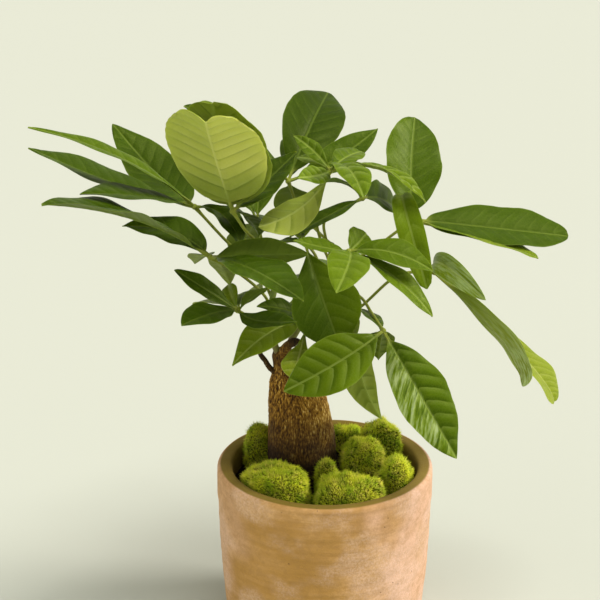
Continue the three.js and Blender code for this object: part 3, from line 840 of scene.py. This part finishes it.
def make_pot(material):
    outline = [
        [0, 0],
        [BASE_RADIUS, 0],
        [BASE_RADIUS + 2, 4],
        [BASE_RADIUS + 4, 22],
        [RIM_RADIUS - 2.5, 52],
        [RIM_RADIUS - 0.5, 100],
        [RIM_RADIUS, 118],
        [RIM_RADIUS, 126],
        [RIM_RADIUS - 0.8, 129],
        [RIM_RADIUS - 3, POT_HEIGHT],
        [RIM_RADIUS - WALL + 3, POT_HEIGHT],
        [RIM_RADIUS - WALL + 0.8, 129],
        [RIM_RADIUS - WALL, 126],
        [RIM_RADIUS - WALL, SOIL_TOP],
        [BASE_RADIUS - 4, 20],
        [BASE_RADIUS - 8, FLOOR + 1],
        [0, FLOOR],
    ]
    profile = resampled(rounded(outline, 3), POT_STEP)

    def thrown(points):
        """Faint rings from the wheel and a slightly uneven wall."""
        radius = np.hypot(points[:, 0], points[:, 1])
        height = points[:, 2]
        above = smooth_step(2, 10, height)
        level = stacked(0, 0, height)
        ring = soft_noise(level, 3.2, 3) * THROWING_RING + soft_noise(level, 11, 4) * THROWING_RING
        ring += soft_noise(points * [0.25, 0.25, 1], 5, 5) * 0.12 + soft_noise(points, 26, 6) * 0.35
        outside = smooth_step(RIM_RADIUS - WALL / 2 - 8, RIM_RADIUS - WALL / 2 - 4, radius)
        grow = 1 + (ring - 0.35) * above * outside / np.maximum(radius, 1)
        moved = points * stacked(grow, grow, 1)
        wavy_lip = 0.25 * soft_noise(points, 18, 7) * smooth_step(120, 130, height)
        moved[:, 2] += wavy_lip - 0.25 * (height > 120)
        return moved

    points, faces = lathe(profile, POT_SEGMENTS, thrown)
    radius = np.hypot(points[:, 0], points[:, 1])
    x, _, z = points.T
    # Olive stain over the lip, and painted shade on the inner wall above the soil, both in the same olive
    # colour.
    over_lip = smooth_step(RIM_RADIUS - 2.2, RIM_RADIUS - 3.6, radius) * smooth_step(126.5, 129, z)
    inside = (radius < RIM_RADIUS - 5) & (z > SOIL_TOP - 15)
    rim = np.maximum(over_lip, inside)
    cloud = rough_noise(points, 30, 3, 91)
    # Painted shade: a deeper ochre band across the pot between its two lit sides, below the rim.
    ochre = smooth_step(30, -25, x + 26 * cloud) * smooth_step(-76, -58, x + 8 * cloud)
    ochre *= smooth_step(124, 112, z)
    # Painted light: the right side, towards the window light, paler and pinker, and the far left side a
    # little.
    pink = np.maximum(smooth_step(22, 64, x + 30 * cloud), 0.45 * smooth_step(-52, -72, x + 14 * cloud))
    # Pale salt bloom in speckles, heavier towards both sides of the pot as painted light.
    bloom = smooth_step(0, 1.0, rough_noise(points * [1, 1, 1.4], 24, 4, 95) + np.abs(x + 12) / 95 - 0.2)
    shape = Shape()
    shape.add(points, faces, rim=rim, ochre=ochre, pink=pink, bloom=bloom)
    shape.piece("terracotta_pot", material, "pot")


def make_soil(material):
    outline = np.array([
        [0, FLOOR + SOIL_GAP],
        [BASE_RADIUS - 8 - SOIL_GAP, FLOOR + 1 + SOIL_GAP],
        [BASE_RADIUS - 4 - SOIL_GAP, 20 + SOIL_GAP],
        [RIM_RADIUS - WALL - SOIL_GAP, SOIL_TOP - 1 - SOIL_GAP],
        [RIM_RADIUS - WALL - 1.5, SOIL_TOP - 1],
        [0, SOIL_TOP - 1],
    ])

    def crumbled(points):
        top = smooth_step(SOIL_TOP - 8, SOIL_TOP - 2, points[:, 2])
        radius = np.hypot(points[:, 0], points[:, 1])
        lumps = rough_noise(points, 7, 3, 11) * 1.3 + np.abs(soft_noise(points, 2.4, 15)) * 0.9
        points[:, 2] += (lumps - 0.6) * top * smooth_step(RIM_RADIUS - WALL, RIM_RADIUS - WALL - 4, radius)
        return points

    points, faces = lathe(resampled(outline, SOIL_STEP), SOIL_SEGMENTS, crumbled)
    shape = Shape()
    shape.add(points, faces)
    shape.piece("soil_bed", material, "soil")


# Trunk and shoots

def bark_relief(points, seed):
    """Height of the bark from 0 in its fissures to 1 on its ridges, drawn out along the trunk."""
    bend = soft_noise(points, 8, seed + 5) * 1.5
    drawn = (points + stacked(bend, bend, 0)) * [1, 1, 0.2]
    coarse = np.abs(soft_noise(drawn, 1.35, seed)) ** 0.6
    fine = np.abs(soft_noise(drawn * [1, 1, 1.6], 1.0, seed + 1)) ** 0.7
    broad = soft_noise(drawn, 6, seed + 2)
    return np.clip(0.62 * coarse + 0.34 * fine + 0.14 * broad, 0, 1)


def trunk_at(height):
    """Centre x, centre y and radius of the trunk at each height."""
    line = smooth_path(TRUNK_SECTIONS, 260)
    return [np.interp(height, line[:, 0], line[:, column]) for column in (1, 2, 3)]


def add_bark_tube(shape, path, radii, charred, seed):
    line = smooth_path(path, BRANCH_STEPS)
    along = np.linspace(0, 1, BRANCH_STEPS + 1)
    points, faces, share = tube(line, np.interp(along, *radii), BRANCH_SIDES)
    relief = bark_relief(points, seed)
    outward = unit(points - np.repeat(line, BRANCH_SIDES, axis=0))
    points = points + outward * (relief[:, None] - 0.6) * 0.5
    shape.add(points, faces, relief=relief, bleached=0.0, damp=0.35, charred=charred(share))


def make_trunk(material):
    low, high = TRUNK_SECTIONS[0][0], TRUNK_SECTIONS[-1][0]
    buried = np.linspace(low, SOIL_TOP - 3, 8)
    heights = np.concatenate([buried, np.linspace(SOIL_TOP - 2, high, TRUNK_RINGS - len(buried))])
    angle = sided(TRUNK_SEGMENTS)
    centre_x, centre_y, radius = (values[:, None] for values in trunk_at(heights))
    z = heights[:, None] * np.ones(TRUNK_SEGMENTS)
    rib = 1 + TRUNK_RIB_DEPTH * np.cos(TRUNK_RIBS * angle + z / TRUNK_RIB_LEAN)
    across = stacked(np.cos(angle), np.sin(angle), 0 * z)
    skin = (across * (radius * rib)[..., None] + stacked(0, 0, z)).reshape(-1, 3)
    relief = bark_relief(skin, 21)
    swell = soft_noise(skin, 13, 27) * 0.7
    depth = BARK_DEPTH * np.repeat(np.clip(radius[:, 0] / 14, 0.45, 1), TRUNK_SEGMENTS)
    centre = stacked(centre_x, centre_y, 0 * z).reshape(-1, 3)
    points = skin + centre + across.reshape(-1, 3) * ((relief - 0.62) * depth + swell)[:, None]
    # Darker towards the bottom of the trunk and at its crown, where the shoots spring.
    damp = smooth_step(180, 124, points[:, 2] + soft_noise(points, 9, 31) * 9)
    crown = smooth_step(184, 200, points[:, 2])
    shape = Shape()
    shape.add(
        points,
        [grid_faces(TRUNK_RINGS, TRUNK_SEGMENTS, wrap=True), *caps(TRUNK_SEGMENTS, TRUNK_RINGS)],
        relief=relief,
        # Painted light on the trunk's right side.
        bleached=smooth_step(-24, 8, points[:, 0]),
        damp=np.clip(damp + crown * 0.4, 0, 1),
        charred=0.0,
    )
    add_bark_tube(shape, TWIG_PATH, TWIG_RADII, lambda t: 0.5 + 0.4 * t, 41)
    add_bark_tube(shape, STUB_PATH, STUB_RADII, lambda t: smooth_step(0.2, 0.5, t) * 0.85, 51)
    shape.piece("bark_trunk", material, "trunk")


def make_shoots(material):
    shape = Shape()
    for path, steps, seed in ((LEFT_STEM, 70, 61), (RIGHT_STEM, 90, 62)):
        line = smooth_path(path, steps)
        t = np.linspace(0, 1, steps + 1)
        knots = 0.28 * np.maximum(0, np.sin(t * 6 * math.pi)) ** 6
        radii = STEM_RADIUS * (1.18 - 0.22 * t) + knots
        radii[-3:] *= [0.9, 0.7, 0.35]
        points, faces, share = tube(line, radii, STEM_SIDES)
        woody = np.clip(smooth_step(0.45, 0.05, share) + soft_noise(points, 3, seed) * 0.25, 0, 1)
        shape.add(points, faces, woody=woody)
    shape.piece("green_shoots", material, "stems")


# Leaves

def rotated(vector, axis, angle):
    """vector turned about a unit axis that it is square to."""
    return vector * math.cos(angle) + np.cross(axis, vector) * math.sin(angle)


def midrib_frame(hub, leaf, t):
    """Place, direction, upward and sideways directions of the midrib at each t."""
    base, tip = np.array(hub, float), np.array(leaf["tip"], float)
    axis = unit(tip - base)
    up = rotated(unit(np.array([0, 0, 1]) - axis * axis[2]), axis, math.radians(leaf["roll"]))
    side = np.cross(axis, up)
    control = base + (tip - base) * leaf["bend"] + up * leaf["arch"] + side * leaf["sweep"]
    t = t[:, None]
    place = (1 - t) ** 2 * base + 2 * t * (1 - t) * control + t**2 * tip
    along = unit((1 - t) * (control - base) + t * (tip - control))
    rise = unit(up - along * (along @ up)[:, None])
    return place, along, rise, np.cross(along, rise)


def half_width(leaf, t):
    shown = NOTCHED_AT if leaf["notch"] else 1
    share = np.clip((t - STALK) / (1 - STALK), 0, 1) * shown
    bulge = np.maximum(np.sin(math.pi * share ** leaf["skew"]), 0) ** leaf["full"]
    least = np.where(t < 0.5, STALK_HALF_WIDTH, TIP_HALF_WIDTH)
    return np.maximum(leaf["width"] / 2 * bulge, least)


def lobe_reach(x):
    """How far a lobe reaches past the midrib: 0 at the midrib, 1 at its peak, and round to its edge."""
    inner = np.sin(np.minimum(x / LOBE_PEAK, 1) * math.pi / 2)
    beyond = np.clip((x - LOBE_PEAK) / (1 - LOBE_PEAK), 0, 1)
    return inner - (1 - LOBE_EDGE) * (1 - np.sqrt(1 - beyond**2))


def by_half(value, x):
    """A value across a leaflet, which is one number or one for each half."""
    first, second = np.broadcast_to(value, 2)
    return first + (second - first) * smooth_step(-0.05, 0.05, x)


def add_leaflet(shape, hub, leaf, youth, number, ribs, sheen_share, creased):
    """One blade: a folded, quilted sheet with a raised midrib below and a groove above it."""
    random = np.random.default_rng(number)
    length = np.linalg.norm(np.array(leaf["tip"]) - hub)
    rows = int(np.clip(length / GRID_ALONG, 22, 92)) + 1
    half_columns = int(np.clip(leaf["width"] / 2 / GRID_ACROSS, 4, 15))
    t = np.linspace(0, 1, rows)
    x = np.linspace(-1, 1, 2 * half_columns + 1)
    if leaf["notch"]:
        x = np.sin(np.linspace(-1, 1, 2 * LOBED_COLUMNS + 1) * math.pi / 2)
    place, forward, rise, across = midrib_frame(hub, leaf, t)
    spacing = length / max(6, round(length / VEIN_SPACING))
    width = half_width(leaf, t)[:, None]
    from_midrib = np.abs(x) * width
    along = t[:, None] * length + 0 * x
    ribbed, slant = ribs
    slant *= NOTCHED_SLANT if leaf["notch"] else 1
    phase = (along - slant * from_midrib - VEIN_CURVE * from_midrib**2) / spacing
    phase += np.where(x < 0, 0.35, 0.0) * np.minimum(1, from_midrib / 2)
    from_vein = np.abs(phase - np.round(phase))
    blade = smooth_step(STALK, STALK + 0.06, t)[:, None]
    youth = by_half(youth, x)
    scallop = 1 + SCALLOP * np.cos(2 * math.pi * phase[:, :1]) * blade
    width = width * scallop

    quilt = QUILT * ribbed * (1 + youth**2) * min(1, leaf["width"] / 26) * 4 * from_vein * (1 - from_vein)
    quilt = quilt * smooth_step(0.5, 3.5, from_midrib) * (1 - np.abs(x) ** 6) * blade
    wave_phase = random.uniform(0, 2 * math.pi, 2)
    wave_length = random.uniform(0.28, 0.4) * length
    wave = np.sin(2 * math.pi * along / wave_length + np.where(x < 0, wave_phase[0], wave_phase[1]))
    wave = wave * (0.01 if leaf["notch"] else 0.045) * leaf["width"] / 2 * np.abs(x) ** 2.5 * blade
    lift = width * (np.abs(x) * math.sin(FOLD) - FOLD_EASE * x**2) + quilt + wave

    sheet = place[:, None] + across[:, None] * (width * x * math.cos(FOLD))[..., None]
    sheet = sheet + rise[:, None] * lift[..., None]
    lobe = leaf["notch"] * lobe_reach(np.abs(x)) * t[:, None] ** LOBE_GROWTH
    sheet = sheet + forward[:, None] * lobe[..., None]
    stalk = 1 - smooth_step(STALK * 0.6, STALK + 0.05, t)[:, None]
    thin = 1 - 0.55 * np.abs(x) ** 4
    groove = 0.22 * np.exp(-(from_midrib / 0.9) ** 2) * blade
    rib = MIDRIB_RISE * np.exp(-(from_midrib / 1.0) ** 2) * (1.15 - 0.85 * t[:, None])
    ridge = 0.2 * ribbed * np.exp(-(from_vein * spacing / 1.3) ** 2) * blade * (1 - np.abs(x) ** 2)
    above = BLADE_HALF * thin - groove + STALK_RISE * stalk
    below = BLADE_HALF * thin + rib + ridge + STALK_RISE * stalk
    upper = sheet + rise[:, None] * above[..., None]
    lower = sheet - rise[:, None] * below[..., None]

    columns = len(x)
    count = rows * columns
    grid = grid_faces(rows, columns)
    numbers = np.arange(count).reshape(rows, columns)
    rim = np.concatenate([numbers[:, 0][::-1], numbers[0, 1:], numbers[1:, -1], numbers[-1, 1:-1][::-1]])
    beside = np.roll(rim, -1)
    edge = stacked(rim, rim + count, beside + count, beside)
    faces = [grid, grid[:, ::-1] + count, edge]

    def both(value):
        """The value at each point of the upper and the lower skin."""
        return np.tile((value + np.zeros((rows, columns))).ravel(), 2)

    shape.add(
        np.concatenate([upper.reshape(-1, 3), lower.reshape(-1, 3)]),
        faces,
        along=both(along),
        across=both(x * width),
        edge=both(x),
        vein_phase=both(phase),
        youth=both(youth - GREEN_BASE * youth**2 * smooth_step(0.4, 0.08, t)[:, None]),
        ribbed=ribbed,
        silver=both(sheen_share * smooth_step(0.05, 0.85, t)[:, None]),
        creased=both(by_half(creased, x) * (smooth_step(0.06, 0.3, t) * smooth_step(1.0, 0.8, t))[:, None]),
        under=np.repeat([0.0, 1.0], count),
        stalk=both(stalk),
        number=float(number),
    )


def add_petiole(shape, leaf, number):
    route = [leaf["hub"], *leaf["petiole"]]
    line = smooth_path(route, 12 * len(route))
    t = np.linspace(0, 1, len(line))
    radii = PETIOLE_RADIUS * (1 + 0.55 * smooth_step(0.1, 0, t) + 0.6 * smooth_step(0.88, 1, t))
    points, faces, share = tube(line, radii, PETIOLE_SIDES)
    shape.add(points, faces, along=share * 60, youth=0.6, stalk=1.0, number=float(number))
    angle = np.linspace(0, math.pi, HUB_RINGS)
    ball = leaf["hub"] + stacked(0, 0, -np.cos(angle) * HUB_RADIUS)
    points, faces, _ = tube(ball, np.maximum(np.sin(angle) * HUB_RADIUS, 0.05), HUB_SIDES)
    shape.add(points, faces, youth=0.6, stalk=1.0, number=float(number))


def make_leaves(material):
    number = 0
    for name, leaf in LEAVES.items():
        shape = Shape()
        ribs = RIBS.get(name, PLAIN_RIBS)
        for index, (row, youth) in enumerate(zip(leaf["leaflets"], LIGHTNESS[name])):
            number += 1
            sheen_share, creased = (table.get((name, index), 0.0) for table in (SILVER_SHEEN, CREASE_LIGHT))
            add_leaflet(shape, leaf["hub"], leaflet(*row), youth, number, ribs, sheen_share, creased)
        add_petiole(shape, leaf, number)
        shape.piece(f"palmate_{name}", material, name, sharp=55)


# Moss

def kept_clear(points, limit=MOSS_LIMIT):
    """Moves points inside the pot's wall and out of the trunk."""
    radius = np.hypot(points[:, 0], points[:, 1])
    inward = np.minimum(1, limit / np.maximum(radius, 1e-6))
    points = points * stacked(inward, inward, 1)
    x, y, trunk = trunk_at(points[:, 2])
    centre = stacked(x, y)
    away = points[:, :2] - centre
    distance = np.linalg.norm(away, axis=1)
    outward = np.maximum(1, (trunk + 0.6) / np.maximum(distance, 1e-6))
    points[:, :2] = centre + away * outward[:, None]
    return points


def cushion_point(cushion, direction, seed):
    """The point of a cushion's lumpy skin that lies in each direction from its centre."""
    x, y, half_across, half_depth, height = cushion
    angle = np.arctan2(direction[:, 1], direction[:, 0])
    lump = 1 + MOSS_LUMP * np.sin(3 * angle + x) + MOSS_LUMP * np.cos(5 * angle + y)
    full = (np.abs(direction) ** MOSS_FULLNESS).sum(axis=1) ** (-1 / MOSS_FULLNESS)
    points = direction * stacked(half_across * lump, half_depth * lump, height) * full[:, None]
    grow = rough_noise(points, 10, 2, seed) * 3.4 - 2.6
    points = points * (1 + grow / np.linalg.norm(points, axis=1))[:, None]
    points[:, 2] = np.maximum(points[:, 2], 0)
    return points + [x, y, SOIL_TOP + 0.4]


def add_mound(shape, cushion, seed):
    tilt = np.linspace(0, math.pi / 2, MOUND_ROWS)[::-1, None]
    angle = sided(MOUND_COLUMNS)[None, :]
    flat = np.sin(tilt)
    direction = stacked(flat * np.cos(angle), flat * np.sin(angle), np.cos(tilt))
    direction = direction[:-1].reshape(-1, 3)
    points = kept_clear(cushion_point(cushion, direction, seed), MOSS_LIMIT - TUFT_LENGTH)
    rings = MOUND_ROWS - 1
    faces = [grid_faces(rings, MOUND_COLUMNS, wrap=True), *caps(MOUND_COLUMNS, rings)]
    # The mound under the blades is painted in shade.
    shape.add(points, faces, tip=0.22, hue=0.0)


def tuft_roots(cushion, seed):
    """Evenly spread points on a cushion and the direction in which it faces at each."""
    _, _, half_across, half_depth, height = cushion
    area = 2 * math.pi * ((half_across * half_depth + half_across * height + half_depth * height) / 3)
    count = int(area / TUFT_AREA)
    random = np.random.default_rng(seed)
    rise = (np.arange(count) + random.uniform(0, 1, count)) / count
    turn = np.arange(count) * math.pi * (3 - math.sqrt(5)) + random.normal(0, 0.02, count)
    flat = np.sqrt(1 - rise**2)
    direction = stacked(flat * np.cos(turn), flat * np.sin(turn), rise)
    steepness = np.sign(direction) * np.abs(direction) ** (MOSS_FULLNESS - 1)
    facing = unit(steepness / [half_across, half_depth, height])
    return kept_clear(cushion_point(cushion, direction, seed), MOSS_LIMIT - TUFT_LENGTH), facing, random


def make_moss(material):
    for index, cushion in enumerate(MOSS):
        seed = 70 + 7 * index
        shape = Shape()
        add_mound(shape, cushion, seed)
        roots, facing, random = tuft_roots(cushion, seed)
        tall = random.uniform(0.6, 1.35, len(roots)) * TUFT_LENGTH
        hue = np.clip(random.normal(0.1, 0.3, len(roots)) + soft_noise(roots, 7, seed) * 0.35, 0, 1)
        for blade in range(TUFT_BLADES):
            lean = random.normal(0, 0.5 if blade else 0.15, (len(roots), 3))
            add_spikes(shape, roots, unit(facing + lean), tall * (0.8 if blade else 1.0), hue)
        shape.piece(f"moss_cushion_{index + 1}", material, f"moss_{index + 1}")


def add_spikes(shape, roots, direction, length, hue):
    """A closed three-sided spike on each root."""
    side = unit(np.cross(direction, [0.3, 0.5, 0.81]))
    up = np.cross(direction, side)
    corners = [
        roots - direction * 0.4 + (side * math.cos(turn) + up * math.sin(turn)) * TUFT_RADIUS
        for turn in (0, 2 * math.pi / 3, 4 * math.pi / 3)
    ]
    tips = kept_clear(roots + direction * length[:, None])
    points = np.stack([*corners, tips], 1).reshape(-1, 3)
    first = np.arange(len(roots))[:, None] * 4
    faces = [first + corner for corner in ([0, 2, 1], [0, 1, 3], [1, 2, 3], [2, 0, 3])]
    # Each spike is painted in shade at its root and in full colour at its tip.
    shape.add(points, faces, tip=np.tile([0.0, 0.0, 0.0, 1.0], len(roots)), hue=np.repeat(hue, 4))


# Stage

def make_camera():
    data = bpy.data.cameras.new("camera")
    data.lens = CAMERA_LENS
    data.clip_end = VIEW_REACH
    camera = placed("camera", data)
    camera.location = [value * MM for value in CAMERA_PLACE]
    camera.rotation_euler = (math.radians(90 - CAMERA_TILT), 0, 0)
    bpy.context.scene.camera = camera


def make_floor():
    mesh = bpy.data.meshes.new("floor")
    corners = [(x * FLOOR_HALF, y * FLOOR_HALF, 0) for x, y in ((-1, -1), (1, -1), (1, 1), (-1, 1))]
    mesh.from_pydata(corners, [], [(0, 1, 2, 3)])
    mesh.materials.append(floor_material())
    placed("floor", mesh)


def make_sun(name, towards, strength, spread, colour):
    """Even light that comes from the given direction. A wide spread softens its shadows."""
    data = bpy.data.lights.new(name, "SUN")
    data.energy = strength
    data.angle = math.radians(spread)
    data.color = colour
    light = placed(name, data)
    light.rotation_euler = Vector(towards).to_track_quat("Z", "Y").to_euler()


def make_lights():
    world = bpy.data.worlds.new("studio")
    world.use_nodes = True
    background = world.node_tree.nodes["Background"]
    background.inputs["Color"].default_value = (1.0, 0.96, 0.84, 1)
    background.inputs["Strength"].default_value = 0.55
    bpy.context.scene.world = world
    make_sun("window_right", (1.0, 0.0, 0.6), 2.7, 20, (1.0, 0.93, 0.86))
    make_sun("sky_above", (0.2, -0.3, 1.0), 2.2, 30, (1.0, 0.98, 0.92))
    make_sun("fill_left", (-1.0, -0.6, 0.3), 0.7, 60, (1.0, 0.98, 0.88))


bpy.context.scene.view_settings.view_transform = "Standard"
make_camera()
make_floor()
make_lights()
make_pot(terracotta_material())
make_soil(soil_material())
make_trunk(bark_material())
make_shoots(shoot_material())
make_leaves(leaf_material())
make_moss(moss_material())
